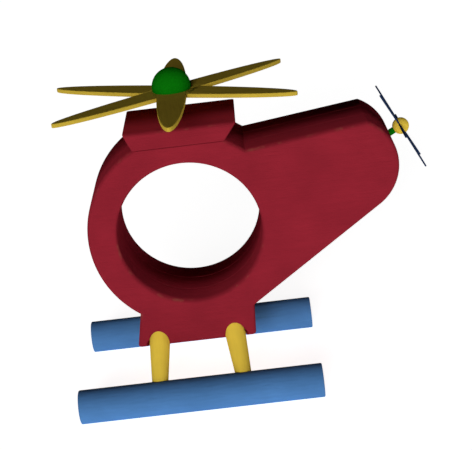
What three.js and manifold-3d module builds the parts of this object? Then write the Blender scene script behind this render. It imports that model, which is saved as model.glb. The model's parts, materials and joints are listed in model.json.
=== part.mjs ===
// Wooden toy helicopter. Three glued boards make the thick body with its round cabin opening,
// a flared block on top carries the mast and a six-leaf rotor that turns, a short dowel at the tail
// carries a small rotor that turns, and four splayed pegs stand the body on two dowel skids.
//
// Millimetres, +Z up, nose towards -X, tail towards +X, left side towards -Y.
// The origin is on the ground, at the middle of the toy's length and width.

import * as THREE from "three";
import { mergeVertices } from "three/addons/utils/BufferGeometryUtils.js";
import Module from "manifold-3d";

// ---------------------------------------------------------------- driving dimensions
// X is measured from the middle of the skids here; the whole toy is moved to its origin at the end.

const GLUE_GAP = 0.1; // between two glued faces
const PEG_GAP = 0.15; // round a glued dowel or peg, in radius
const RUNNING_GAP = 0.1; // round a spindle, in radius, and at the ends of what turns on it

const BODY = {
  boardThickness: 20, // three boards give the body's 60 mm
  ring: { x: 5.0, z: 112.3, radius: 65.6 }, // the round cabin
  windowRadius: 46.5, // the round opening through the cabin
  tail: { x: 109.6, z: 143.2, radius: 32.2 }, // the rounded end of the boom
  tailCornerX: 123.5, // where the boom's top meets the rounded end
  notch: { x: 46.0, z: 163.0 }, // the V between pylon and boom
  seatZ: 170.8, // the flat planed on the ring for the pylon
  footZ: 36.8,
  footTop: [-34.2, 40.6], // X where the foot meets the ring, front and rear
  footBottom: [-38.7, 39.4],
};

const PYLON = {
  topZ: 181.9,
  top: [-29.2, 42.9], // X of the flared top's front and rear edges
  dowelX: [-16, 24],
  dowelRadius: 3,
  dowelZ: [163.8, 177.6],
};

const BODY_DOWEL = {
  radius: 4,
  length: 44,
  places: { nose: [-51.8, 112.9], foot: [0.4, 51.8], boom: [72, 134], tail: [116, 142] },
};

const SKID = { radius: 11.0, axisZ: 10.5, length: 158.6, spacing: 107.2, chamfer: 0.6 };

const LEG = {
  bodyX: [-25.1, 26.6], // X of each peg's axis where it meets the foot's lower edge
  skidX: [-27.6, 29.8], // X of the same axis over the skid
  edgeZ: 36.9, // height of the axis at the body's side face
  bodyRadius: 6.7,
  skidRadius: 5.3,
  tenonInBody: 20,
  tenonPastSkidAxis: 3,
  chamfer: 0.6,
};

const ROTOR = {
  x: 4.2,
  bladeTopZ: 199.9,
  thickness: 2.7,
  halfLength: 87.2,
  halfWidth: 9.5,
  barAngles: [-27, 34.3, 90], // degrees, lowest bar of the crossing first
  bushRadius: 4,
  bushProud: 0.2,
};

const MAST = { radius: 4.5, bottomZ: 165, chamfer: 0.4 };

const ROTOR_SCREW = { radius: 2, bottomZ: 172, headRadius: 3.8, headHeight: 2.4, slot: [0.9, 1.1] };

const WASHER = { radius: 4.5, thickness: 0.8 };

const DOME = { radius: 12.5, centreAboveBlades: 1.8, pocketRadius: 6.5, pocketHeight: 5.2 };

const TAIL_ROTOR = {
  x: 147.4,
  z: 158.4,
  tilt: 27.4, // degrees that the spin axis rises towards the tail
  turn: 26, // degrees that its first bar is turned about the spin axis
  hubRadius: 5.4,
  hubFlat: 4.9, // from the hub's centre to the flat that faces the shaft
  thickness: 1.0,
  halfLength: 31.9,
  halfWidth: 3.4,
  bars: 3,
};

const TAIL_SHAFT = { radius: 2.15, length: 26, pinHoleDepth: 17.5 };

const TAIL_PIN = { radius: 0.8, depthInShaft: 17, headRadius: 1.5, headHeight: 1.1 };

const TAIL_WASHER = { radius: 1.8, thickness: 0.5 };

const TAIL_POCKET = { radius: 2.2, depth: 3 };

// ---------------------------------------------------------------- finishes

const FINISH = {
  red: { color: 0x8f2331, roughness: 0.5, metalness: 0 },
  blue: { color: 0x4977ab, roughness: 0.5, metalness: 0 },
  yellow: { color: 0xd4b540, roughness: 0.5, metalness: 0 },
  green: { color: 0x0a700a, roughness: 0.45, metalness: 0 },
  bareWood: { color: 0xd9b98a, roughness: 0.75, metalness: 0 },
  steel: { color: 0xb9bcc0, roughness: 0.35, metalness: 1 },
  brass: { color: 0xc9a24a, roughness: 0.35, metalness: 1 },
};

// ---------------------------------------------------------------- solids

const wasm = await Module();
wasm.setup();

const rad = THREE.MathUtils.degToRad;

/** A closed geometry as a solid that can be joined and cut. */
function solid(geometry) {
  const bare = geometry.clone();
  bare.deleteAttribute("normal");
  bare.deleteAttribute("uv");
  const merged = mergeVertices(bare, 1e-4);
  return new wasm.Manifold(
    new wasm.Mesh({
      numProp: 3,
      vertProperties: merged.attributes.position.array,
      triVerts: new Uint32Array(merged.index.array),
    }),
  );
}

/** A solid back as a geometry with flat faces. */
function geometryOf(manifold) {
  const mesh = manifold.getMesh();
  const geometry = new THREE.BufferGeometry();
  geometry.setAttribute("position", new THREE.BufferAttribute(mesh.vertProperties, 3));
  geometry.setIndex(new THREE.BufferAttribute(mesh.triVerts, 1));
  const flat = geometry.toNonIndexed();
  flat.computeVertexNormals();
  return flat;
}

/** A profile of [radius, height] pairs turned about the Z axis. */
function turned(profile, segments = 28) {
  const points = profile.map(([r, z]) => new THREE.Vector2(r, z));
  return new THREE.LatheGeometry(points, segments).rotateX(Math.PI / 2);
}

/** A dowel from z = low to z = high, with both ends chamfered. */
function dowel(radius, low, high, chamfer = 0.5, segments = 28) {
  return turned(
    [
      [0, low],
      [radius - chamfer, low],
      [radius, low + chamfer],
      [radius, high - chamfer],
      [radius - chamfer, high],
      [0, high],
    ],
    segments,
  );
}

/** A flat ring from z = low to z = high. */
function washer(outer, inner, low, high, segments = 28) {
  return turned(
    [
      [inner, low],
      [outer, low],
      [outer, high],
      [inner, high],
      [inner, low],
    ],
    segments,
  );
}

/** Points [radius, height] along a ball's outline, from one height to another above its centre. */
function ballOutline(radius, low, high, steps) {
  const from = Math.asin(low / radius);
  const to = Math.asin(high / radius);
  return Array.from({ length: steps + 1 }, (_, i) => {
    const angle = from + ((to - from) * i) / steps;
    return [Math.max(0, radius * Math.cos(angle)), radius * Math.sin(angle)];
  });
}

/** An outline in X and Z made into a board between y = near and y = far. */
function board(shape, near, far) {
  const geometry = new THREE.ExtrudeGeometry(shape, {
    depth: far - near,
    bevelEnabled: false,
    curveSegments: 18,
  });
  return geometry.rotateX(Math.PI / 2).translate(0, far, 0);
}

/** The matrix that stands a Z-aligned piece at one point, aimed at another. */
function aim(from, to) {
  const direction = to.clone().sub(from).normalize();
  const turn = new THREE.Quaternion().setFromUnitVectors(new THREE.Vector3(0, 0, 1), direction);
  return new THREE.Matrix4().compose(from, turn, new THREE.Vector3(1, 1, 1));
}

/** A named mesh, added to its group. */
function piece(group, name, geometry, finish) {
  const mesh = new THREE.Mesh(geometry, new THREE.MeshStandardMaterial(finish));
  mesh.name = name;
  group.add(mesh);
  return mesh;
}

// ---------------------------------------------------------------- places worked out

const bodyHalf = 1.5 * BODY.boardThickness;
const seatHalf = Math.sqrt(BODY.ring.radius ** 2 - (BODY.seatZ - BODY.ring.z) ** 2);
const seat = [BODY.ring.x - seatHalf, BODY.ring.x + seatHalf];

const bladeBottomZ = ROTOR.bladeTopZ - ROTOR.thickness;
const lowerWasherTop = bladeBottomZ - ROTOR.bushProud - RUNNING_GAP;
const upperWasherBottom = ROTOR.bladeTopZ + ROTOR.bushProud + RUNNING_GAP;
const mastTop = lowerWasherTop - WASHER.thickness - GLUE_GAP / 2;

const tailAxis = new THREE.Vector3(Math.cos(rad(TAIL_ROTOR.tilt)), 0, Math.sin(rad(TAIL_ROTOR.tilt)));
const tailCentre = new THREE.Vector3(TAIL_ROTOR.x, 0, TAIL_ROTOR.z);
const tailPlacing = aim(tailCentre, tailCentre.clone().add(tailAxis));
const shaftEnd = -TAIL_ROTOR.hubFlat - RUNNING_GAP; // along the tail axis, from the hub's centre

/** The angle on a circle's upper half at which it reaches a given X. */
const angleAtX = (circle, x) => Math.acos((x - circle.x) / circle.radius);

// ---------------------------------------------------------------- body

/** The side outline of the body: ring, foot, straight belly, rounded tail, boom, notch and seat. */
function bodyOutline() {
  const { ring, tail, footTop, footBottom, footZ, notch } = BODY;
  const apart = Math.hypot(tail.x - ring.x, tail.z - ring.z);
  const rise = Math.atan2(tail.z - ring.z, tail.x - ring.x);
  const belly = rise + Math.asin((ring.radius - tail.radius) / apart) - Math.PI / 2;
  const seatAngle = angleAtX(ring, seat[0]);
  const footFront = 2 * Math.PI - angleAtX(ring, footTop[0]);
  const tailCorner = angleAtX(tail, BODY.tailCornerX);

  const shape = new THREE.Shape();
  shape.absarc(ring.x, ring.z, ring.radius, seatAngle, footFront, false);
  shape.lineTo(footBottom[0], footZ);
  shape.lineTo(footBottom[1], footZ);
  shape.lineTo(footTop[1], ring.z - Math.sqrt(ring.radius ** 2 - (footTop[1] - ring.x) ** 2));
  shape.absarc(tail.x, tail.z, tail.radius, belly, tailCorner, false);
  shape.lineTo(notch.x, notch.z);
  shape.lineTo(seat[1], BODY.seatZ);
  shape.closePath();

  const window = new THREE.Path();
  window.absarc(ring.x, ring.z, BODY.windowRadius, 0, -Math.PI, true);
  window.absarc(ring.x, ring.z, BODY.windowRadius, Math.PI, 0, true);
  shape.holes.push(window);
  return shape;
}

/** A peg leg standing on its skid's axis, with its outside grown by a clearance. */
function legGeometry(length, grow = 0) {
  const { bodyRadius, skidRadius, tenonInBody, tenonPastSkidAxis, chamfer } = LEG;
  const low = -tenonPastSkidAxis - grow;
  const high = length + tenonInBody + grow;
  return turned([
    [0, low],
    [skidRadius + grow - chamfer, low],
    [skidRadius + grow, low + chamfer],
    [skidRadius + grow, SKID.radius + 0.4],
    [bodyRadius + grow, length],
    [bodyRadius + grow, high - chamfer],
    [bodyRadius + grow - chamfer, high],
    [0, high],
  ]);
}

/** Where each leg stands: its name, its skid's side (-1 left, +1 right), matrix and length. */
const legs = ["front", "rear"].flatMap((end, i) =>
  [-1, 1].map((side) => {
    const foot = new THREE.Vector3(LEG.skidX[i], (side * SKID.spacing) / 2, SKID.axisZ);
    const top = new THREE.Vector3(LEG.bodyX[i], side * bodyHalf, LEG.edgeZ);
    const name = `leg_${end}_${side < 0 ? "left" : "right"}`;
    return { name, side, matrix: aim(foot, top), length: foot.distanceTo(top) };
  }),
);

/** The drilling for one leg, in the toy's frame. */
const legDrilling = (leg) => solid(legGeometry(leg.length, PEG_GAP).applyMatrix4(leg.matrix));

/** A drilling along Y for a dowel through the boards. */
function crossDowel([x, z], grow = 0) {
  const half = BODY_DOWEL.length / 2 + grow;
  return dowel(BODY_DOWEL.radius + grow, -half, half, 0.5, 20)
    .rotateX(Math.PI / 2)
    .translate(x, 0, z);
}

const pylonDowel = (x, grow = 0) =>
  dowel(PYLON.dowelRadius + grow, PYLON.dowelZ[0] - grow, PYLON.dowelZ[1] + grow, 0.5, 20)
    .translate(x, 0, 0);

const mastGeometry = (grow = 0) =>
  dowel(MAST.radius + grow, MAST.bottomZ - grow, mastTop + grow, MAST.chamfer).translate(ROTOR.x, 0, 0);

const shaftGeometry = (grow = 0) =>
  dowel(TAIL_SHAFT.radius + grow, shaftEnd - TAIL_SHAFT.length - grow, shaftEnd, 0.2, 24);

function addBody(toy) {
  const outline = bodyOutline();
  const drillings = [
    ...Object.values(BODY_DOWEL.places).map((place) => solid(crossDowel(place, PEG_GAP))),
    ...PYLON.dowelX.map((x) => solid(pylonDowel(x, PEG_GAP))),
    ...legs.map(legDrilling),
    solid(mastGeometry(PEG_GAP)),
    solid(shaftGeometry(PEG_GAP).applyMatrix4(tailPlacing)),
  ];

  ["left", "middle", "right"].forEach((side, i) => {
    const near = -bodyHalf + i * BODY.boardThickness + (i > 0 ? GLUE_GAP / 2 : 0);
    const far = -bodyHalf + (i + 1) * BODY.boardThickness - (i < 2 ? GLUE_GAP / 2 : 0);
    const blank = solid(board(outline, near, far));
    const drilled = drillings.reduce((wood, drilling) => wood.subtract(drilling), blank);
    piece(toy, `body_board_${side}`, geometryOf(drilled), FINISH.red);
  });

  for (const [name, place] of Object.entries(BODY_DOWEL.places)) {
    piece(toy, `body_dowel_${name}`, crossDowel(place), FINISH.bareWood);
  }
}

function addPylon(toy) {
  const base = BODY.seatZ + GLUE_GAP;
  const shape = new THREE.Shape();
  shape.moveTo(seat[0], base);
  shape.lineTo(seat[1], base);
  shape.lineTo(PYLON.top[1], PYLON.topZ);
  shape.lineTo(PYLON.top[0], PYLON.topZ);
  shape.closePath();
  const block = PYLON.dowelX.reduce(
    (wood, x) => wood.subtract(solid(pylonDowel(x, PEG_GAP))),
    solid(board(shape, -bodyHalf, bodyHalf)).subtract(solid(mastGeometry(PEG_GAP))),
  );
  piece(toy, "rotor_pylon", geometryOf(block), FINISH.red);
  PYLON.dowelX.forEach((x, i) => {
    piece(toy, `pylon_dowel_${["front", "rear"][i]}`, pylonDowel(x), FINISH.bareWood);
  });
}

// ---------------------------------------------------------------- legs and skids

function addLegs(toy) {
  for (const leg of legs) {
    const mesh = piece(toy, leg.name, legGeometry(leg.length), FINISH.yellow);
    mesh.applyMatrix4(leg.matrix);
  }
}

/** Each skid is a dowel along X with a narrow flat planed underneath, drilled for its two legs. */
function addSkids(toy) {
  for (const side of [-1, 1]) {
    const half = SKID.length / 2;
    const rod = dowel(SKID.radius, -half, half, SKID.chamfer, 48)
      .rotateY(Math.PI / 2)
      .translate(0, (side * SKID.spacing) / 2, SKID.axisZ);
    const belowGround = new THREE.BoxGeometry(SKID.length + 10, SKID.spacing * 2, 10).translate(0, 0, -5);
    const wood = legs
      .filter((leg) => leg.side === side)
      .reduce((rest, leg) => rest.subtract(legDrilling(leg)), solid(rod).subtract(solid(belowGround)));
    piece(toy, `skid_${side < 0 ? "left" : "right"}`, geometryOf(wood), FINISH.blue);
  }
}

// ---------------------------------------------------------------- main rotor

/** A double-ended leaf along X: one long narrow ellipse. */
function leafOutline({ halfLength, halfWidth }, grow = 0) {
  const shape = new THREE.Shape();
  shape.absellipse(0, 0, halfLength + grow, halfWidth + grow, 0, 2 * Math.PI, false, 0);
  return shape;
}

/** A leaf turned to an angle in the XY plane, between two heights. */
function leaf(size, angle, low, high, grow = 0) {
  return solid(
    new THREE.ExtrudeGeometry(leafOutline(size, grow), {
      depth: high - low,
      bevelEnabled: false,
      curveSegments: 24,
    })
      .translate(0, 0, low)
      .rotateZ(rad(angle)),
  );
}

/** One of three bars that cross in a three-way lap joint; z = 0 is the underside. */
function lappedBar(index) {
  const { thickness, barAngles, bushRadius } = ROTOR;
  let bar = leaf(ROTOR, barAngles[index], 0, thickness);
  barAngles.forEach((angle, other) => {
    if (other === index) return;
    const joint = (thickness * (Math.min(index, other) + 1)) / 3;
    const waste =
      index < other
        ? leaf(ROTOR, angle, joint - GLUE_GAP / 2, thickness + 1, GLUE_GAP)
        : leaf(ROTOR, angle, -1, joint + GLUE_GAP / 2, GLUE_GAP);
    bar = bar.subtract(waste);
  });
  return bar.subtract(solid(dowel(bushRadius + PEG_GAP, -1, thickness + 1, 0.1)));
}

function addRotor(toy) {
  const rotor = new THREE.Group();
  rotor.position.set(ROTOR.x, 0, bladeBottomZ);
  toy.add(rotor);

  ["lower", "middle", "upper"].forEach((level, i) => {
    piece(rotor, `rotor_bar_${level}`, geometryOf(lappedBar(i)), FINISH.yellow);
  });

  const bore = ROTOR_SCREW.radius + RUNNING_GAP;
  const bush = washer(ROTOR.bushRadius, bore, -ROTOR.bushProud, ROTOR.thickness + ROTOR.bushProud);
  piece(rotor, "rotor_bush", bush, FINISH.brass);

  const { radius, centreAboveBlades, pocketRadius, pocketHeight } = DOME;
  const low = -centreAboveBlades + GLUE_GAP;
  const pocketTop = pocketHeight - centreAboveBlades;
  const dome = turned([
    [0, pocketTop],
    [pocketRadius, pocketTop],
    [pocketRadius, low],
    ...ballOutline(radius, low, radius, 9),
  ]);
  const cap = piece(rotor, "rotor_dome", dome, FINISH.green);
  cap.position.z = ROTOR.thickness + centreAboveBlades;
}

/** The mast and the screw and washers that hold the rotor on it. */
function addMast(toy) {
  const { radius, bottomZ, headRadius, headHeight, slot } = ROTOR_SCREW;
  const mast = solid(mastGeometry()).subtract(
    solid(dowel(radius + RUNNING_GAP, bottomZ - 0.5, mastTop + 1, 0.1).translate(ROTOR.x, 0, 0)),
  );
  piece(toy, "rotor_mast", geometryOf(mast), FINISH.green);

  const stack = new THREE.Group();
  stack.position.x = ROTOR.x;
  toy.add(stack);
  const bore = radius + RUNNING_GAP;
  const lower = washer(WASHER.radius, bore, lowerWasherTop - WASHER.thickness, lowerWasherTop);
  piece(stack, "rotor_washer_lower", lower, FINISH.steel);
  const washerTop = upperWasherBottom + WASHER.thickness;
  piece(stack, "rotor_washer_upper", washer(WASHER.radius, bore, upperWasherBottom, washerTop), FINISH.steel);

  const headBase = washerTop + GLUE_GAP / 2;
  const blank = turned([
    [0, bottomZ],
    [0.4, bottomZ],
    [radius, bottomZ + 4],
    [radius, headBase],
    [headRadius, headBase],
    [headRadius, headBase + 0.5 * headHeight],
    [0.8 * headRadius, headBase + 0.85 * headHeight],
    [0.45 * headRadius, headBase + headHeight],
    [0, headBase + headHeight],
  ]);
  const [width, depth] = slot;
  const driverSlot = new THREE.BoxGeometry(3 * headRadius, width, 2 * depth)
    .translate(0, 0, headBase + headHeight);
  piece(stack, "rotor_screw", geometryOf(solid(blank).subtract(solid(driverSlot))), FINISH.steel);
}

// ---------------------------------------------------------------- tail rotor
// Inside the tail group +Z is the spin axis and z = 0 the middle of the rotor's thickness.

function addTail(toy) {
  const tail = new THREE.Group();
  tail.applyMatrix4(tailPlacing);
  toy.add(tail);

  const { thickness, bars, turn, hubRadius, hubFlat } = TAIL_ROTOR;
  const bore = TAIL_PIN.radius + RUNNING_GAP;
  const face = thickness / 2 + GLUE_GAP / 2;

  const shaft = solid(shaftGeometry()).subtract(
    solid(dowel(TAIL_PIN.radius + GLUE_GAP, shaftEnd - TAIL_SHAFT.pinHoleDepth, 0, 0.05, 24)),
  );
  piece(tail, "tail_shaft", geometryOf(shaft), FINISH.green);

  const crossing = Array.from({ length: bars }, (_, i) =>
    leaf(TAIL_ROTOR, turn + (180 * i) / bars, -thickness / 2, thickness / 2),
  ).reduce((star, bar) => star.add(bar));
  const star = crossing.subtract(solid(dowel(bore, -thickness, thickness, 0.05, 24)));
  piece(tail, "tail_rotor_star", geometryOf(star), FINISH.blue);

  const innerHalf = turned([
    [bore, -hubFlat],
    ...ballOutline(hubRadius, -hubFlat, -face, 6),
    [bore, -face],
    [bore, -hubFlat],
  ]);
  piece(tail, "tail_hub_inner", innerHalf, FINISH.yellow);

  const outerHalf = turned([
    [0, TAIL_POCKET.depth],
    [TAIL_POCKET.radius, TAIL_POCKET.depth],
    [TAIL_POCKET.radius, face],
    ...ballOutline(hubRadius, face, hubRadius, 6),
  ]);
  piece(tail, "tail_hub_outer", outerHalf, FINISH.yellow);

  const washerLow = thickness / 2 + RUNNING_GAP;
  const washerHigh = washerLow + TAIL_WASHER.thickness;
  piece(tail, "tail_washer", washer(TAIL_WASHER.radius, bore, washerLow, washerHigh, 24), FINISH.steel);

  const headBase = washerHigh + GLUE_GAP / 2;
  const pinEnd = shaftEnd - TAIL_PIN.depthInShaft;
  const pin = turned(
    [
      [0, pinEnd],
      [TAIL_PIN.radius, pinEnd + 1.5],
      [TAIL_PIN.radius, headBase],
      [TAIL_PIN.headRadius, headBase],
      [TAIL_PIN.headRadius, headBase + 0.5 * TAIL_PIN.headHeight],
      [0.6 * TAIL_PIN.headRadius, headBase + TAIL_PIN.headHeight],
      [0, headBase + TAIL_PIN.headHeight],
    ],
    24,
  );
  piece(tail, "tail_pin", pin, FINISH.steel);
}

// ---------------------------------------------------------------- assembly

const toy = new THREE.Group();
addBody(toy);
addPylon(toy);
addLegs(toy);
addSkids(toy);
addMast(toy);
addRotor(toy);
addTail(toy);

const middle = new THREE.Box3().setFromObject(toy, true).getCenter(new THREE.Vector3());
toy.position.x = -middle.x;

const helicopter = new THREE.Group();
helicopter.add(toy);

export default helicopter;
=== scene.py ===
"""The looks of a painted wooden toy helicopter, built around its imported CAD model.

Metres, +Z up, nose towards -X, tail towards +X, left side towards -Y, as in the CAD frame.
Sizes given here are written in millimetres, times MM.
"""

import json
from math import asin, atan2, cos, hypot, pi, radians, sin, sqrt, tan

import bmesh
import bpy
import numpy as np
from mathutils import Matrix, Vector


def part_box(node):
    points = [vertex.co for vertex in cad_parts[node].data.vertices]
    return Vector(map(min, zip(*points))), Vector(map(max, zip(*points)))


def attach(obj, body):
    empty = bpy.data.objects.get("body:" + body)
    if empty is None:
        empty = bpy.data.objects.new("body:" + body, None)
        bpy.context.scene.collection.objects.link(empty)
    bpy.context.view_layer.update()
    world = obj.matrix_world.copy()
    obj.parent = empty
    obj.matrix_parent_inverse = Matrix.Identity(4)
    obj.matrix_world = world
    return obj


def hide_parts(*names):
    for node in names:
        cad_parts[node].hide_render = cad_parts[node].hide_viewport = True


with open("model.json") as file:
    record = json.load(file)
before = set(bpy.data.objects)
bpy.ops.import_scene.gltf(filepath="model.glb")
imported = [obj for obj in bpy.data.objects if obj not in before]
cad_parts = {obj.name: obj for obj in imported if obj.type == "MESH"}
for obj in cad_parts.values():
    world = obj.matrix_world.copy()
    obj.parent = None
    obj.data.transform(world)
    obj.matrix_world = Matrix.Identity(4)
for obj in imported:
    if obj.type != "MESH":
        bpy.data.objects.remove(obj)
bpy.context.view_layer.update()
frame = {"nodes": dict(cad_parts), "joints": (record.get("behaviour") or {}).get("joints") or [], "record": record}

MM = 0.001

# ---------------------------------------------------------------- driving dimensions

skid_low, skid_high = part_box("skid_left")
MID_X = (skid_low.x + skid_high.x) / 2  # the middle of the skids, from which X is measured below

RING = {"x": MID_X + 5.0 * MM, "z": 112.3 * MM, "radius": 65.6 * MM}
WINDOW_RADIUS = 46.5 * MM
TAIL = {"x": MID_X + 109.6 * MM, "z": 143.2 * MM, "radius": 32.2 * MM}
TAIL_CORNER_X = MID_X + 123.5 * MM
NOTCH = (MID_X + 46.0 * MM, 163.0 * MM)
SEAT_Z = 170.8 * MM
FOOT_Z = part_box("body_board_left")[0].z
FOOT_TOP_X = (MID_X - 34.2 * MM, MID_X + 40.6 * MM)
FOOT_BOTTOM_X = (MID_X - 38.7 * MM, MID_X + 39.4 * MM)

BODY_ROUNDING = 2.2 * MM  # the roundover along the outline of the body's side faces
PYLON_ROUNDING = 1.8 * MM
RIM_STRETCH = 2.2  # how much further those roundovers reach across the thickness
SEAT_SHARE = 0.1  # how much of the rounding the glued seat between body and pylon gets
FOOT_SHARE = 0.3  # how much of it the flat underside of the foot gets
CORNER_FILLET = 0.8 * MM
GLUE_LINE = 0.3 * MM  # the small chamfer that shows where two boards meet
SUPPORT = 0.7 * MM  # from a rounded edge to the next ring of vertices, which keeps flats flat
OVERSHOOT = 1 * MM  # how far a cutter stands out of what it cuts
SHARP_ANGLE = radians(38)
CLEARANCE = 0.15 * MM  # round a glued dowel or peg

# ---------------------------------------------------------------- outlines


def inset_loop(points, insets):
    """A closed anticlockwise outline moved inwards, each edge by its own distance."""
    points = np.array(points)
    edges = np.roll(points, -1, 0) - points
    edges /= np.linalg.norm(edges, axis=1)[:, None]
    normals = np.stack([-edges[:, 1], edges[:, 0]], 1)
    moved = []
    for i, point in enumerate(points):
        pair = normals[i - 1], normals[i]
        distances = insets[i - 1], insets[i]
        if abs(pair[0][0] * pair[1][1] - pair[0][1] * pair[1][0]) < 0.02:
            moved.append(point + (pair[0] * distances[0] + pair[1] * distances[1]) / 2)
        else:
            moved.append(point + np.linalg.solve(np.array(pair), np.array(distances)))
    return np.array(moved)


def circle_loop(centre, radius, count):
    """A closed circle of points."""
    angles = np.arange(count) * 2 * pi / count
    return np.stack([centre[0] + radius * np.cos(angles), centre[1] + radius * np.sin(angles)], 1)


class Line:
    """A straight edge of an anticlockwise outline.

    Its share scales how far it moves when the outline is inset.
    """

    def __init__(self, start, end, share=1.0):
        self.start = np.array(start)
        along = np.array(end) - self.start
        self.normal = np.array([-along[1], along[0]]) / np.linalg.norm(along)
        self.share = share

    def error(self, point, inset):
        return (point - self.start) @ self.normal - inset * self.share

    def slope(self, point):
        return self.normal

    def inner_points(self, start, end, inset):
        return []


class Arc:
    """An anticlockwise arc of an outline, kept at the same number of points whatever the inset."""

    def __init__(self, centre, radius, steps):
        self.centre = np.array(centre)
        self.radius = radius
        self.steps = steps

    def error(self, point, inset):
        return self.radius - inset - np.linalg.norm(point - self.centre)

    def slope(self, point):
        return (self.centre - point) / np.linalg.norm(point - self.centre)

    def inner_points(self, start, end, inset):
        first, last = (atan2(*(p - self.centre)[::-1]) for p in (start, end))
        angles = np.linspace(first, last + (2 * pi if last < first else 0), self.steps + 1)[1:-1]
        radius = self.radius - inset
        return [self.centre + radius * np.array([cos(a), sin(a)]) for a in angles]


def meeting(before, after, guess, inset):
    """The point where two neighbouring edges meet, found by Newton's method."""
    point = np.array(guess, float)
    for _ in range(8):
        slopes = np.array([before.slope(point), after.slope(point)])
        errors = np.array([before.error(point, inset), after.error(point, inset)])
        point -= np.linalg.solve(slopes, errors)
    return point


def edged_loop(edges, corners, inset, fillet=CORNER_FILLET, steps=4):
    """An outline's points at an inset.

    corners[i] says where edges[i - 1] meets edges[i]: (a guess at the place, whether it is smooth).
    Every corner that isn't smooth gets a fillet.
    """
    count = len(edges)
    places = []
    for i, (guess, smooth) in enumerate(corners):
        if smooth:
            arc_edge = edges[i]
            outward = -arc_edge.slope(np.array(guess))
            places.append(arc_edge.centre + outward * (arc_edge.radius - inset))
        else:
            places.append(meeting(edges[i - 1], edges[i], guess, inset))

    loop = []
    starts, ends = [None] * count, [None] * count
    blends = []
    for i, (_, smooth) in enumerate(corners):
        point = places[i]
        if smooth:
            starts[i] = ends[i - 1] = point
            blends.append([point])
            continue
        directions = []
        for edge, sign in ((edges[i - 1], -1), (edges[i], 1)):
            normal = edge.slope(point)
            directions.append(sign * np.array([normal[1], -normal[0]]))
        opening = np.arccos(np.clip(directions[0] @ directions[1], -1, 1))
        reach = fillet / tan(opening / 2)
        ends[i - 1] = point + directions[0] * reach
        starts[i] = point + directions[1] * reach
        back, ahead = directions
        spots = np.linspace(0, 1, steps + 1)
        blends.append([point + ((1 - t) ** 2 * back + t**2 * ahead) * reach for t in spots])
    for i, edge in enumerate(edges):
        loop += blends[i]
        loop += edge.inner_points(starts[i], ends[i], inset)
    return np.array(loop)


def body_edges():
    """The body's side outline in X and Z: its edges, and the corner where each one starts."""
    ring, tail = (RING["x"], RING["z"]), (TAIL["x"], TAIL["z"])
    apart = hypot(tail[0] - ring[0], tail[1] - ring[1])
    rise = atan2(tail[1] - ring[1], tail[0] - ring[0])
    belly = rise + asin((RING["radius"] - TAIL["radius"]) / apart) - pi / 2
    seat_half = sqrt(RING["radius"] ** 2 - (SEAT_Z - ring[1]) ** 2)
    seat_front, seat_rear = (ring[0] - seat_half, SEAT_Z), (ring[0] + seat_half, SEAT_Z)

    def below(circle_x):
        return ring[1] - sqrt(RING["radius"] ** 2 - (circle_x - ring[0]) ** 2)

    foot = [
        (FOOT_TOP_X[0], below(FOOT_TOP_X[0])),
        (FOOT_BOTTOM_X[0], FOOT_Z),
        (FOOT_BOTTOM_X[1], FOOT_Z),
        (FOOT_TOP_X[1], below(FOOT_TOP_X[1])),
    ]
    belly_end = (tail[0] + TAIL["radius"] * cos(belly), tail[1] + TAIL["radius"] * sin(belly))
    belly_back = (belly_end[0] + sin(belly), belly_end[1] - cos(belly))
    tail_top = (TAIL_CORNER_X, tail[1] + sqrt(TAIL["radius"] ** 2 - (TAIL_CORNER_X - tail[0]) ** 2))
    edges = [
        Arc(ring, RING["radius"], 50),
        Line(foot[0], foot[1]),
        Line(foot[1], foot[2], FOOT_SHARE),
        Line(foot[2], foot[3]),
        Line(belly_back, belly_end),
        Arc(tail, TAIL["radius"], 44),
        Line(tail_top, NOTCH),
        Line(NOTCH, seat_rear),
        Line(seat_rear, seat_front, SEAT_SHARE),
    ]
    places = [seat_front, *foot, belly_end, tail_top, NOTCH, seat_rear]
    return edges, [(place, place is belly_end) for place in places]


def leaf_outline(size, steps=96):
    """A double-ended leaf along X: one long narrow ellipse."""
    angles = np.arange(steps) * 2 * pi / steps
    return [(size["half_length"] * cos(a), size["half_width"] * sin(a)) for a in angles]


def star_outline(size, bars, steps=24):
    """Leaves that cross at equal angles, as one outline with a petal for each end."""
    length, width = size["half_length"], size["half_width"]
    # where one leaf's side meets the next leaf's, as an angle round the ellipse
    fork = atan2(length * tan(pi / (2 * bars)), width)
    angles = np.linspace(-fork, fork, steps + 1)[:-1]
    petal = np.array([(length * cos(a), width * sin(a)) for a in angles])
    points = []
    for k in range(2 * bars):
        turn = pi * k / bars
        spin = np.array([[cos(turn), sin(turn)], [-sin(turn), cos(turn)]])
        points += (petal @ spin).tolist()
    return points


# ---------------------------------------------------------------- mesh building


def new_object(name, mesh_data, matrix):
    """A bmesh as a smooth-shaded object of its own, sharp only where two flats meet."""
    mesh = bpy.data.meshes.new(name)
    mesh_data.to_mesh(mesh)
    mesh_data.free()
    mesh.shade_smooth()
    mesh.set_sharp_from_angle(angle=SHARP_ANGLE)
    piece = bpy.data.objects.new(name, mesh)
    bpy.context.scene.collection.objects.link(piece)
    piece.matrix_world = matrix
    return piece


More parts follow.
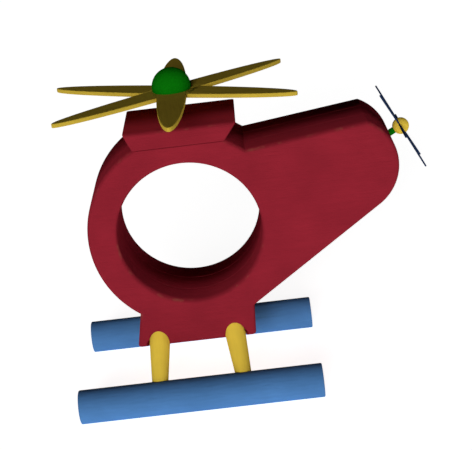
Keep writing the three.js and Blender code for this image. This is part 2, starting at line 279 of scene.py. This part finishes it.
def rounded_levels(low, high, radius_low, radius_high, steps_low=6, steps_high=6, stretch=1.0):
    """The levels (height, inset, wear) of a slab whose two rims are rounded.

    The roundings are stretched along the height.
    """
    reach_low, reach_high = radius_low * stretch, radius_high * stretch
    levels = [(low, radius_low + SUPPORT, 0.0)]
    for k in range(steps_low + 1):
        a = pi / 2 * k / steps_low
        levels.append((low + reach_low * (1 - cos(a)), radius_low * (1 - sin(a)), sin(2 * a)))
    levels.append((low + reach_low + SUPPORT, 0.0, 0.0))
    levels.append((high - reach_high - SUPPORT, 0.0, 0.0))
    for k in range(steps_high + 1):
        a = pi / 2 * k / steps_high
        levels.append((high - reach_high * (1 - sin(a)), radius_high * (1 - cos(a)), sin(2 * a)))
    levels.append((high, radius_high + SUPPORT, 0.0))
    return levels


def slab(name, loops_at, levels, matrix):
    """A slab between levels along local Z; loops_at(inset) gives its outline and its holes."""
    bm = bmesh.new()
    wear = bm.verts.layers.float.new("wear")
    rings = []
    for height, inset, worn in levels:
        rings.append([])
        for loop in loops_at(inset):
            ring = [bm.verts.new((u, v, height)) for u, v in loop]
            for vertex in ring:
                vertex[wear] = worn
            rings[-1].append(ring)
    for lower, upper in zip(rings, rings[1:]):
        for a, b in zip(lower, upper):
            for i in range(len(a)):
                j = (i + 1) % len(a)
                bm.faces.new((a[i], a[j], b[j], b[i]))
    for height in (levels[0][0], levels[-1][0]):
        rim = [e for e in bm.edges
               if e.is_boundary and all(abs(v.co.z - height) < 1e-7 for v in e.verts)]
        bmesh.ops.triangle_fill(bm, edges=rim, use_beauty=True, use_dissolve=False)
    bmesh.ops.recalc_face_normals(bm, faces=bm.faces)
    return new_object(name, bm, matrix)


def softened(profile, radius, steps=5):
    """A (radius, height) profile with its corners rounded, as (radius, height, wear) points."""
    points = [Vector(p) for p in profile]
    result = [(*points[0], 0.0)]
    for before, corner, after in zip(points, points[1:], points[2:]):
        to_before, to_after = before - corner, after - corner
        angle = to_before.angle(to_after)
        reach = min(radius / tan(angle / 2), 0.45 * to_before.length, 0.45 * to_after.length)
        if pi - angle < radians(8):
            result.append((*corner, 0.0))
            continue
        near, far = to_before.normalized(), to_after.normalized()
        support = min(SUPPORT, 0.04 * min(to_before.length, to_after.length) + 0.1 * MM)
        result.append((*(corner + near * (reach + support)), 0.0))
        for k in range(steps + 1):
            t = k / steps
            bend = (1 - t) ** 2 * near + t**2 * far
            result.append((*(corner + bend * reach), sin(pi * t)))
        result.append((*(corner + far * (reach + support)), 0.0))
    result.append((*points[-1], 0.0))
    return result


def turned(name, profile, matrix, segments=72):
    """A (radius, height, wear) profile turned about local Z.

    The profile starts and ends on the axis, or it is a closed one that ends where it starts.
    """
    bm = bmesh.new()
    wear = bm.verts.layers.float.new("wear")
    closed = profile[0][0] > 1e-7
    rings = []
    for radius, height, worn in profile[:-1] if closed else profile:
        if radius < 1e-7:
            ring = [bm.verts.new((0, 0, height))]
        else:
            ring = [bm.verts.new((u, v, height)) for u, v in circle_loop((0, 0), radius, segments)]
        for vertex in ring:
            vertex[wear] = worn
        rings.append(ring)
    pairs = list(zip(rings, rings[1:] + rings[:1])) if closed else list(zip(rings, rings[1:]))
    for a, b in pairs:
        for k in range(segments):
            j = (k + 1) % segments
            corners = [a[k % len(a)], a[j % len(a)], b[j % len(b)], b[k % len(b)]]
            bm.faces.new(list(dict.fromkeys(corners)))
    bmesh.ops.recalc_face_normals(bm, faces=bm.faces)
    return new_object(name, bm, matrix)


def grown_copy(node, clearance):
    """A CAD node's mesh with its faces moved outwards, for drilling the hole that it sits in."""
    bm = bmesh.new()
    bm.from_mesh(frame["nodes"][node].data)
    bmesh.ops.remove_doubles(bm, verts=bm.verts, dist=1e-6)
    bmesh.ops.recalc_face_normals(bm, faces=bm.faces)
    bm.normal_update()
    moves = [(v, v.normal * clearance) for v in bm.verts]
    for vertex, move in moves:
        vertex.co += move
    return new_object("cutter_" + node, bm, Matrix.Identity(4))


def bake_modifiers(piece):
    """Makes a piece's modifiers part of its mesh."""
    bpy.context.view_layer.update()
    evaluated = piece.evaluated_get(bpy.context.evaluated_depsgraph_get())
    mesh = bpy.data.meshes.new_from_object(evaluated)
    piece.modifiers.clear()
    piece.data = mesh


def cut(piece, cutters):
    """Cuts the cutters out of a piece and removes them, then keeps the piece's flats flat in shading."""
    for cutter in cutters:
        modifier = piece.modifiers.new(cutter.name, "BOOLEAN")
        modifier.operation = "DIFFERENCE"
        modifier.solver = "EXACT"
        modifier.object = cutter
    bake_modifiers(piece)
    for cutter in cutters:
        bpy.data.objects.remove(cutter)
    piece.data.materials.clear()
    piece.data.shade_smooth()
    piece.data.set_sharp_from_angle(angle=SHARP_ANGLE)
    flats = piece.modifiers.new("flats", "WEIGHTED_NORMAL")
    flats.keep_sharp = True
    bake_modifiers(piece)


def axis_of(node):
    """The centre and direction of a long round CAD piece."""
    points = np.array([v.co for v in frame["nodes"][node].data.vertices], float)
    points = np.unique(points.round(7), axis=0)
    centre = (points.min(0) + points.max(0)) / 2
    _, _, axes = np.linalg.svd(points - points.mean(0))
    direction = Vector(axes[0] if axes[0][2] > 0 else -axes[0])
    return Vector(centre), direction


def aimed(origin, direction):
    """The matrix that puts local Z along a direction."""
    turn = Vector((0, 0, 1)).rotation_difference(direction)
    return Matrix.Translation(origin) @ turn.to_matrix().to_4x4()


def dress(piece, body, slot, material, *nodes):
    """Gives a piece its material and body, and lets it stand for its CAD nodes; the slot is not used."""
    piece.data.materials.append(material)
    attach(piece, body)
    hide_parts(*nodes)


# ---------------------------------------------------------------- materials


class Nodes:
    """Short calls for building one material's node tree."""

    def __init__(self, name):
        self.material = bpy.data.materials.new(name)
        self.material.use_nodes = True
        self.tree = self.material.node_tree
        self.shader = self.tree.nodes["Principled BSDF"]

    def add(self, kind, inputs=None, **settings):
        node = self.tree.nodes.new("ShaderNode" + kind)
        for key, value in settings.items():
            setattr(node, key, value)
        for key, value in (inputs or {}).items():
            if isinstance(value, bpy.types.NodeSocket):
                self.tree.links.new(value, node.inputs[key])
            else:
                node.inputs[key].default_value = value
        return node

    def link(self, source, socket):
        self.tree.links.new(source, self.shader.inputs[socket])

    def stretched(self, scale, offset=(0, 0, 0)):
        """Object coordinates scaled differently along each axis."""
        where = self.add("TexCoord").outputs["Object"]
        return self.add("Mapping", {"Vector": where, "Scale": scale, "Location": offset}).outputs[0]

    def noise(self, where, scale, detail, roughness, distortion=0.0):
        inputs = {"Vector": where, "Scale": scale, "Detail": detail, "Roughness": roughness,
                  "Distortion": distortion}
        return self.add("TexNoise", inputs).outputs["Fac"]

    def span(self, value, low, high, to_low=0.0, to_high=1.0):
        """A value spread from one range to another, clamped."""
        inputs = {"Value": value, "From Min": low, "From Max": high, "To Min": to_low, "To Max": to_high}
        return self.add("MapRange", inputs).outputs["Result"]

    def maths(self, operation, a, b):
        return self.add("Math", {0: a, 1: b}, operation=operation).outputs[0]

    def mix(self, share, a, b):
        return self.add("Mix", {0: share, 6: a, 7: b}, data_type="RGBA").outputs[2]

    def bump(self, height, distance, strength=1.0, under=None):
        inputs = {"Height": height, "Distance": distance, "Strength": strength}
        if under is not None:
            inputs["Normal"] = under
        return self.add("Bump", inputs).outputs[0]


def rgb(colour, factor=1.0):
    return (*[c * factor for c in colour], 1.0)


def grain_scale(axis, along, across):
    """A mapping scale that stretches a texture along one local axis."""
    return tuple(along if a == axis else across for a in "XYZ")


BARE_PALE = (0.62, 0.42, 0.22)
BARE_DARK = (0.43, 0.26, 0.115)


def painted_wood(name, colour, axis, seed, crown=None):
    """Matt paint brushed on sanded wood: grain shows faintly through it, and it is thin at the edges.

    A crown (axis, half thickness, slope at the rims) pillows the faces that run along that axis.
    """
    n = Nodes(name)
    offset = (seed, seed * 0.37, seed * 0.71)
    fibres = n.noise(n.stretched(grain_scale(axis, 0.06, 1.0), offset), 2200, 3, 0.6)
    pores = n.noise(n.stretched(grain_scale(axis, 0.09, 1.0), offset), 900, 5, 0.65, 0.2)
    strokes = n.noise(n.stretched(grain_scale(axis, 0.12, 1.0), offset), 420, 4, 0.6, 0.4)
    clouds = n.noise(n.stretched((1, 1, 1), offset), 38, 3, 0.5)
    peel = n.noise(n.stretched((1, 1, 1), offset), 700, 2, 0.5)

    tone = n.mix(n.span(clouds, 0.3, 0.7), rgb(colour, 0.9), rgb(colour, 1.08))
    tone = n.mix(n.span(strokes, 0.35, 0.7, 0.0, 0.35), tone, rgb(colour, 0.84))
    dips = n.span(pores, 0.6, 0.78, 0.0, 0.5)
    tone = n.mix(dips, tone, rgb(colour, 0.62))

    worn = n.add("Attribute", attribute_name="wear").outputs["Fac"]
    patches = n.noise(n.stretched((1, 1, 1), offset), 85, 3, 0.6)
    rubbed = n.maths("MULTIPLY", n.maths("POWER", worn, 3.0), n.span(patches, 0.55, 0.8, 0.0, 0.16))
    bare = n.mix(n.span(fibres, 0.35, 0.65), rgb(BARE_PALE), rgb(BARE_DARK))
    n.link(n.mix(rubbed, tone, bare), "Base Color")

    gloss = n.span(strokes, 0.3, 0.7, 0.60, 0.70)
    n.link(n.maths("ADD", gloss, n.span(pores, 0.55, 0.8, 0.0, 0.14)), "Roughness")
    n.shader.inputs["Specular IOR Level"].default_value = 0.0

    pillow = None
    if crown:
        across, half, slope = crown
        where = n.add("SeparateXYZ", {0: n.add("TexCoord").outputs["Object"]}).outputs[across]
        height = n.maths("MULTIPLY", n.maths("MULTIPLY", where, where), -slope / (2 * half))
        pillow = n.bump(height, 1.0)
    surface = n.bump(n.span(pores, 0.3, 0.8, 1.0, 0.0), 0.00035, 0.5, pillow)
    surface = n.bump(strokes, 0.00025, 0.35, surface)
    surface = n.bump(peel, 0.00012, 0.3, surface)
    n.link(n.bump(n.maths("SUBTRACT", 1.0, rubbed), 0.00015, 0.6, surface), "Normal")
    return n.material


def bare_wood(name, axis):
    """Unfinished beech: growth bands, short dark flecks and rough fibres."""
    n = Nodes(name)
    bands = n.noise(n.stretched(grain_scale(axis, 0.08, 1.0)), 420, 3, 0.5, 0.6)
    flecks = n.noise(n.stretched(grain_scale(axis, 0.16, 1.0)), 2600, 2, 0.5)
    tone = n.mix(n.span(bands, 0.35, 0.65), rgb(BARE_PALE), rgb(BARE_DARK))
    tone = n.mix(n.span(flecks, 0.62, 0.72, 0.0, 0.5), tone, (0.25, 0.14, 0.06, 1))
    n.link(tone, "Base Color")
    n.link(n.span(flecks, 0.3, 0.7, 0.62, 0.82), "Roughness")
    n.link(n.bump(flecks, 0.0002, 0.4), "Normal")
    return n.material


def turned_metal(name, colour, roughness):
    """Metal with fine turning rings and a few dull patches."""
    n = Nodes(name)
    rings = n.noise(n.stretched((1, 1, 6)), 1800, 2, 0.5)
    patches = n.noise(n.stretched((1, 1, 1)), 300, 4, 0.6)
    n.link(n.mix(n.span(patches, 0.35, 0.7), rgb(colour, 1.05), rgb(colour, 0.8)), "Base Color")
    n.link(n.span(patches, 0.3, 0.7, roughness - 0.06, roughness + 0.12), "Roughness")
    n.link(n.bump(rings, 0.00008, 0.35), "Normal")
    n.shader.inputs["Metallic"].default_value = 1.0
    return n.material


def slot_colour(slot):
    """The base colour that the record gives a material slot."""
    found = [m for m in frame["record"]["materials"] if m["slot"] == slot]
    return tuple(found[0]["base_color"])


RED = tuple(0.88 * c for c in slot_colour("red_paint"))
BLUE = slot_colour("blue_paint")
DARK_BLUE = tuple(0.5 * c for c in slot_colour("dark_blue_paint"))
YELLOW = slot_colour("yellow_paint")
YELLOW_WITH_PAINTED_LIGHT = tuple(1.4 * c for c in YELLOW)  # a lighter copy of the yellow paint, with light painted in, for the legs and the ball, which the lamps leave in shade
YELLOW_WITH_PAINTED_SHADE = tuple(0.78 * c for c in YELLOW)  # a darker copy of the yellow paint, with shade painted in, for the blades
GREEN = tuple(1.2 * c for c in slot_colour("green_paint"))

# ---------------------------------------------------------------- body

SIDEWAYS = Matrix.Rotation(pi / 2, 4, "X")  # lays an outline in X and Z; local Z runs along -Y
BODY_CROWN = ("Z", 30 * MM, 0.9)  # local Z runs across the body's 60 mm


def add_body():
    edges, corners = body_edges()

    def loops_at(inset):
        window = circle_loop((RING["x"], RING["z"]), WINDOW_RADIUS + inset, 144)
        return [edged_loop(edges, corners, inset), window]

    dowels = ["body_dowel_nose", "body_dowel_foot", "body_dowel_boom", "body_dowel_tail"]
    drilled = {
        "left": dowels + ["leg_front_left", "leg_rear_left"],
        "middle": dowels + ["pylon_dowel_front", "pylon_dowel_rear", "rotor_mast", "tail_shaft"],
        "right": dowels + ["leg_front_right", "leg_rear_right"],
    }
    rims = {
        "left": (GLUE_LINE, BODY_ROUNDING),
        "middle": (GLUE_LINE, GLUE_LINE),
        "right": (BODY_ROUNDING, GLUE_LINE),
    }
    for i, (side, nodes) in enumerate(drilled.items()):
        node = "body_board_" + side
        low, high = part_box(node)
        steps = [9 if rim == BODY_ROUNDING else 2 for rim in rims[side]]
        levels = rounded_levels(-high.y, -low.y, *rims[side], *steps, stretch=RIM_STRETCH)
        board = slab(side + "_board", loops_at, levels, SIDEWAYS)
        cut(board, [grown_copy(n, CLEARANCE) for n in nodes])
        paint = painted_wood("red_paint_" + side, RED, "X", seed=0.3 * i, crown=BODY_CROWN)
        dress(board, "airframe", "red_paint", paint, node)


def add_pylon():
    low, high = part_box("rotor_pylon")
    seat_half = sqrt(RING["radius"] ** 2 - (SEAT_Z - RING["z"]) ** 2)
    places = [
        (RING["x"] - seat_half, low.z),
        (RING["x"] + seat_half, low.z),
        (high.x, high.z),
        (low.x, high.z),
    ]
    edges = [Line(a, b) for a, b in zip(places, places[1:] + places[:1])]
    edges[0].share = SEAT_SHARE
    corners = [(place, False) for place in places]
    levels = rounded_levels(-high.y, -low.y, PYLON_ROUNDING, PYLON_ROUNDING, stretch=RIM_STRETCH)
    block = slab("pylon_block", lambda inset: [edged_loop(edges, corners, inset)], levels, SIDEWAYS)
    drilled = ["pylon_dowel_front", "pylon_dowel_rear", "rotor_mast"]
    cut(block, [grown_copy(n, CLEARANCE) for n in drilled])
    paint = painted_wood("red_paint_pylon", RED, "X", seed=1.7, crown=BODY_CROWN)
    dress(block, "airframe", "red_paint", paint, "rotor_pylon")


# ---------------------------------------------------------------- legs and skids

LEG_RADII = (5.3 * MM, 6.7 * MM)  # at the skid and at the body
LEG_PAST_SKID_AXIS = 3 * MM
LEG_TENON = 20 * MM


def add_legs():
    for i, place in enumerate(("front_left", "front_right", "rear_left", "rear_right")):
        node = "leg_" + place
        centre, direction = axis_of(node)
        points = np.array([v.co for v in frame["nodes"][node].data.vertices], float)
        reach = float(np.abs((points - np.array(centre)) @ np.array(direction)).max())
        skid_top = -reach + LEG_PAST_SKID_AXIS + (skid_high.z - skid_low.z) / 2
        thin, thick = LEG_RADII
        profile = [
            (0, -reach),
            (thin, -reach),
            (thin, skid_top),
            (thick, reach - LEG_TENON),
            (thick, reach),
            (0, reach),
        ]
        peg = turned(place + "_peg", softened(profile, 0.6 * MM), aimed(centre, direction))
        # the legs' yellow has light painted into it
        paint = painted_wood("yellow_paint_leg_" + place, YELLOW_WITH_PAINTED_LIGHT, "Z", seed=0.9 + 0.4 * i)
        dress(peg, "airframe", "yellow_paint", paint, node)


def add_skids():
    for i, side in enumerate(("left", "right")):
        node = "skid_" + side
        low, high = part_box(node)
        radius = (high.y - low.y) / 2
        half = (high.x - low.x) / 2
        axis_z = high.z - radius
        profile = [(0, -half), (radius, -half), (radius, half), (0, half)]
        place = Matrix.Translation(((low.x + high.x) / 2, (low.y + high.y) / 2, axis_z))
        lying = Matrix.Rotation(pi / 2, 4, "Y")
        rod = turned(side + "_runner", softened(profile, 0.9 * MM), place @ lying, 120)
        # local X points down, so the planed flat is a limit on it
        for vertex in rod.data.vertices:
            vertex.co.x = min(vertex.co.x, axis_z)
        cut(rod, [grown_copy(f"leg_{end}_{side}", CLEARANCE) for end in ("front", "rear")])
        paint = painted_wood("blue_paint_" + side, BLUE, "Z", seed=3.1 + 0.6 * i)
        dress(rod, "airframe", "blue_paint", paint, node)


# ---------------------------------------------------------------- main rotor

joints = {joint["name"]: joint for joint in frame["joints"]}
ROTOR_X = joints["main_rotor_spin"]["pos_m"][0]
BAR = {"half_length": 87.2 * MM, "half_width": 9.5 * MM}
BAR_ANGLES = {"lower": radians(-27), "middle": radians(34.3), "upper": radians(90)}
BAR_ROUNDING = 0.45 * MM
LAP_GAP = 0.06 * MM


def bar_placing(angle, height):
    return Matrix.Translation((ROTOR_X, 0, height)) @ Matrix.Rotation(angle, 4, "Z")


def add_rotor_bars():
    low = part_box("rotor_bar_lower")[0].z
    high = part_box("rotor_bar_upper")[1].z
    thickness = high - low
    outline = leaf_outline(BAR)

    def loops_at(inset):
        return [inset_loop(outline, np.full(len(outline), inset))]

    names = list(BAR_ANGLES)
    for i, level in enumerate(names):
        levels = rounded_levels(0, thickness, BAR_ROUNDING, BAR_ROUNDING, 4, 4)
        bar = slab(level + "_blade_pair", loops_at, levels, bar_placing(BAR_ANGLES[level], low))
        cutters = [grown_copy("rotor_bush", CLEARANCE)]
        for j, other in enumerate(names):
            if i == j:
                continue
            joint = thickness * (min(i, j) + 1) / 3
            if i < j:
                heights = (joint - LAP_GAP / 2, thickness + OVERSHOOT)
            else:
                heights = (-OVERSHOOT, joint + LAP_GAP / 2)
            levels = [(height, -LAP_GAP, 0.0) for height in heights]
            cutters.append(slab("waste_" + other, loops_at, levels, bar_placing(BAR_ANGLES[other], low)))
        cut(bar, cutters)
        # the blades' yellow has shade painted into it
        paint = painted_wood("yellow_paint_bar_" + level, YELLOW_WITH_PAINTED_SHADE, "X", seed=5.2 + 0.8 * i)
        dress(bar, "main_rotor", "yellow_paint", paint, "rotor_bar_" + level)


def ball_profile(radius, low, high, steps):
    """Points on a ball's outline between two heights above its centre."""
    angles = np.linspace(asin(low / radius), asin(high / radius), steps + 1)
    return [(max(0.0, radius * cos(a)), radius * sin(a)) for a in angles]


def unworn(profile):
    """A (radius, height) profile with no wear anywhere."""
    return [(radius, height, 0.0) for radius, height in profile]


DOME_RADIUS = 12.5 * MM
DOME_POCKET = (6.5 * MM, 5.2 * MM)  # radius and height


def add_dome():
    low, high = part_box("rotor_dome")
    centre_z = high.z - DOME_RADIUS
    base = low.z - centre_z
    pocket_radius, pocket_height = DOME_POCKET
    pocket_top = base + pocket_height
    ball = ball_profile(DOME_RADIUS, base, DOME_RADIUS, 28)
    pocket = [(0, pocket_top), (pocket_radius, pocket_top), (pocket_radius, base)]
    rim = softened(pocket + ball[:2], 0.25 * MM)
    profile = rim[:-1] + unworn(ball[1:])
    cap = turned("dome_cap", profile, Matrix.Translation((ROTOR_X, 0, centre_z)), 96)
    paint = painted_wood("green_paint_dome", GREEN, "Z", seed=7.0)
    dress(cap, "main_rotor", "green_paint", paint, "rotor_dome")


SCREW_HOLE = (2.1 * MM, 0.5 * MM)  # its radius, and how much deeper than the screw it goes


def add_mast():
    low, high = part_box("rotor_mast")
    radius = (high.x - low.x) / 2
    bore, spare = SCREW_HOLE
    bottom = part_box("rotor_screw")[0].z - spare
    outside = softened([(0, low.z), (radius, low.z), (radius, high.z), (bore, high.z)], 0.35 * MM)
    profile = outside + unworn([(bore, bottom), (0, bottom)])
    mast = turned("mast_dowel", profile, Matrix.Translation((ROTOR_X, 0, 0)), 64)
    paint = painted_wood("green_paint_mast", GREEN, "Z", seed=7.9)
    dress(mast, "airframe", "green_paint", paint, "rotor_mast")


# ---------------------------------------------------------------- tail rotor

TAIL_AXIS = Vector(joints["tail_rotor_spin"]["axis"]).normalized()
TAIL_CENTRE = Vector(joints["tail_rotor_spin"]["pos_m"])
TAIL_TURN = radians(26)
TAIL_LEAF = {"half_length": 31.9 * MM, "half_width": 3.4 * MM}
STAR_THICKNESS = 1.0 * MM
STAR_RIM = 0.22 * MM  # the rounding along the star's edges
HUB_RADIUS = 5.4 * MM
HUB_FLAT = 4.9 * MM  # from the ball's centre to the flat that faces the shaft
HUB_BORE = 0.9 * MM
HUB_POCKET = (2.2 * MM, 3.0 * MM)  # radius and height, for the pin's head


def add_tail_star():
    outline = star_outline(TAIL_LEAF, 3)

    def loops_at(inset):
        edge = inset_loop(outline, np.full(len(outline), inset))
        return [edge, circle_loop((0, 0), HUB_BORE + inset, 32)]

    half = STAR_THICKNESS / 2
    levels = [(-half, STAR_RIM, 0.0), (-half + 0.3 * STAR_RIM, 0.3 * STAR_RIM, 0.5)]
    levels += [(-half + STAR_RIM, 0.0, 0.0)]
    levels += [(-z, inset, wear) for z, inset, wear in reversed(levels)]
    turn = Matrix.Rotation(TAIL_TURN, 4, "Z")
    star = slab("tail_star", loops_at, levels, aimed(TAIL_CENTRE, TAIL_AXIS) @ turn)
    paint = painted_wood("dark_blue_paint_star", DARK_BLUE, "X", seed=9.1)
    dress(star, "tail_rotor", "dark_blue_paint", paint, "tail_rotor_star")


def add_tail_ball():
    placing = aimed(TAIL_CENTRE, TAIL_AXIS)
    face = STAR_THICKNESS / 2 + 0.05 * MM

    inner = [(HUB_BORE, -HUB_FLAT), *ball_profile(HUB_RADIUS, -HUB_FLAT, -face, 16)]
    inner += [(HUB_BORE, -face), (HUB_BORE, -HUB_FLAT)]
    ball = turned("ball_inner_half", unworn(inner), placing, 64)
    # both halves of the ball get the yellow with light painted into it
    paint = painted_wood("yellow_paint_ball_inner", YELLOW_WITH_PAINTED_LIGHT, "Z", seed=11.0)
    dress(ball, "tail_rotor", "yellow_paint", paint, "tail_hub_inner")

    pocket_radius, pocket_top = HUB_POCKET
    outer = [(0, pocket_top), (pocket_radius, pocket_top), (pocket_radius, face)]
    outer += ball_profile(HUB_RADIUS, face, HUB_RADIUS, 16)
    ball = turned("ball_outer_half", unworn(outer), placing, 64)
    paint = painted_wood("yellow_paint_ball_outer", YELLOW_WITH_PAINTED_LIGHT, "Z", seed=12.3)
    dress(ball, "tail_rotor", "yellow_paint", paint, "tail_hub_outer")


SHAFT_RADIUS = 2.15 * MM
SHAFT_LENGTH = 26 * MM
SHAFT_BORE = (0.9 * MM, 17.5 * MM)  # radius and depth
SHAFT_PLAY = 0.1 * MM  # between the shaft's end and the ball


def add_tail_shaft():
    end = -HUB_FLAT - SHAFT_PLAY
    start = end - SHAFT_LENGTH
    bore, depth = SHAFT_BORE
    outside = softened([(0, start), (SHAFT_RADIUS, start), (SHAFT_RADIUS, end), (bore, end)], 0.2 * MM)
    profile = outside + unworn([(bore, end - depth), (0, end - depth)])
    shaft = turned("tail_dowel", profile, aimed(TAIL_CENTRE, TAIL_AXIS), 48)
    paint = painted_wood("green_paint_shaft", GREEN, "Z", seed=8.4)
    dress(shaft, "airframe", "green_paint", paint, "tail_shaft")


# ---------------------------------------------------------------- pieces that stay as the CAD made them


def finish_cad_nodes():
    wood_across = bare_wood("bare_wood_cross_dowels", "Y")
    wood_upright = bare_wood("bare_wood_upright_dowels", "Z")
    steel = turned_metal("zinc_plated_steel", slot_colour("steel"), 0.32)
    brass = turned_metal("turned_brass", slot_colour("brass"), 0.3)
    finishes = {
        wood_across: ["body_dowel_nose", "body_dowel_foot", "body_dowel_boom", "body_dowel_tail"],
        wood_upright: ["pylon_dowel_front", "pylon_dowel_rear"],
        steel: ["rotor_screw", "rotor_washer_lower", "rotor_washer_upper", "tail_pin", "tail_washer"],
        brass: ["rotor_bush"],
    }
    for material, nodes in finishes.items():
        for node in nodes:
            frame["nodes"][node].data.materials.clear()
            frame["nodes"][node].data.materials.append(material)


# ---------------------------------------------------------------- studio


FLOOR_GLOW = 0.91
BACKDROP = 0.97  # how bright the camera sees the studio behind the floor
HORIZON = 0.2  # how bright the studio's walls light the object
ZENITH = 0.0  # and its ceiling
CEILING_FADE = (radians(3), radians(16))  # the heights between which the walls fade into the ceiling
KEY_HEIGHT = radians(12.5)
KEY_HEADING = radians(-8)
KEY_SPREAD = radians(22)
KEY_STRENGTH = 1.9


def add_floor():
    bm = bmesh.new()
    bmesh.ops.create_grid(bm, x_segments=8, y_segments=8, size=40.0)
    floor = new_object("studio_floor", bm, Matrix.Identity(4))
    n = Nodes("pale_floor")
    mottling = n.noise(n.stretched((1, 1, 1)), 6, 4, 0.5)
    n.link(n.mix(n.span(mottling, 0.3, 0.7), (0.86, 0.86, 0.86, 1), (0.9, 0.9, 0.9, 1)), "Base Color")
    n.shader.inputs["Roughness"].default_value = 0.9
    n.shader.inputs["Specular IOR Level"].default_value = 0.1
    n.shader.inputs["Emission Color"].default_value = (1, 1, 1, 1)
    n.shader.inputs["Emission Strength"].default_value = FLOOR_GLOW
    floor.data.materials.append(n.material)


def add_world():
    """A pale backdrop for the camera, and dim walls and a dark ceiling to light the toy by."""
    world = bpy.data.worlds.new("studio")
    bpy.context.scene.world = world
    world.use_nodes = True
    tree = world.node_tree
    where = tree.nodes.new("ShaderNodeTexCoord")
    split = tree.nodes.new("ShaderNodeSeparateXYZ")
    fade = tree.nodes.new("ShaderNodeMapRange")
    fade.interpolation_type = "SMOOTHSTEP"
    fade.inputs["From Min"].default_value = sin(CEILING_FADE[0])
    fade.inputs["From Max"].default_value = sin(CEILING_FADE[1])
    fade.inputs["To Min"].default_value = HORIZON
    fade.inputs["To Max"].default_value = ZENITH
    background = tree.nodes["Background"]
    background.inputs["Color"].default_value = (1, 1, 1, 1)
    tree.links.new(where.outputs["Generated"], split.inputs[0])
    tree.links.new(split.outputs["Z"], fade.inputs["Value"])
    seen = tree.nodes.new("ShaderNodeLightPath")
    strength = tree.nodes.new("ShaderNodeMix")
    strength.inputs["B"].default_value = BACKDROP
    tree.links.new(seen.outputs["Is Camera Ray"], strength.inputs["Factor"])
    tree.links.new(fade.outputs["Result"], strength.inputs["A"])
    tree.links.new(strength.outputs["Result"], background.inputs["Strength"])


def add_key_light():
    """One broad soft light from the front left, nearly level."""
    light = bpy.data.lights.new("key", "SUN")
    light.angle = KEY_SPREAD
    light.energy = KEY_STRENGTH
    lamp = bpy.data.objects.new("key", light)
    bpy.context.scene.collection.objects.link(lamp)
    height, heading = KEY_HEIGHT, KEY_HEADING
    towards = Vector((sin(heading) * cos(height), -cos(heading) * cos(height), sin(height)))
    lamp.matrix_world = aimed(towards, towards)


def add_camera():
    """The camera: its place from the skids' middle, its heading, how far it looks down, and its roll."""
    yaw, pitch, roll = radians(-1.082), radians(20.351), radians(-7.0)
    forward = Vector((sin(yaw) * cos(pitch), cos(yaw) * cos(pitch), -sin(pitch)))
    level = Vector((cos(yaw), -sin(yaw), 0))
    over = level.cross(forward)
    right = cos(roll) * level + sin(roll) * over
    up = -sin(roll) * level + cos(roll) * over
    lens = bpy.data.cameras.new("camera")
    lens.lens = 101.32
    lens.sensor_width = 36.0
    camera = bpy.data.objects.new("camera", lens)
    bpy.context.scene.collection.objects.link(camera)
    turn = Matrix((right, up, -forward)).transposed().to_4x4()
    camera.matrix_world = Matrix.Translation((MID_X + 49.83 * MM, -822.5 * MM, 408.7 * MM)) @ turn
    bpy.context.scene.camera = camera


# ---------------------------------------------------------------- scene

add_camera()
add_body()
add_pylon()
add_legs()
add_skids()
add_rotor_bars()
add_dome()
add_mast()
add_tail_star()
add_tail_ball()
add_tail_shaft()
finish_cad_nodes()
add_floor()
add_world()
add_key_light()
bpy.context.scene.view_settings.view_transform = "Standard"
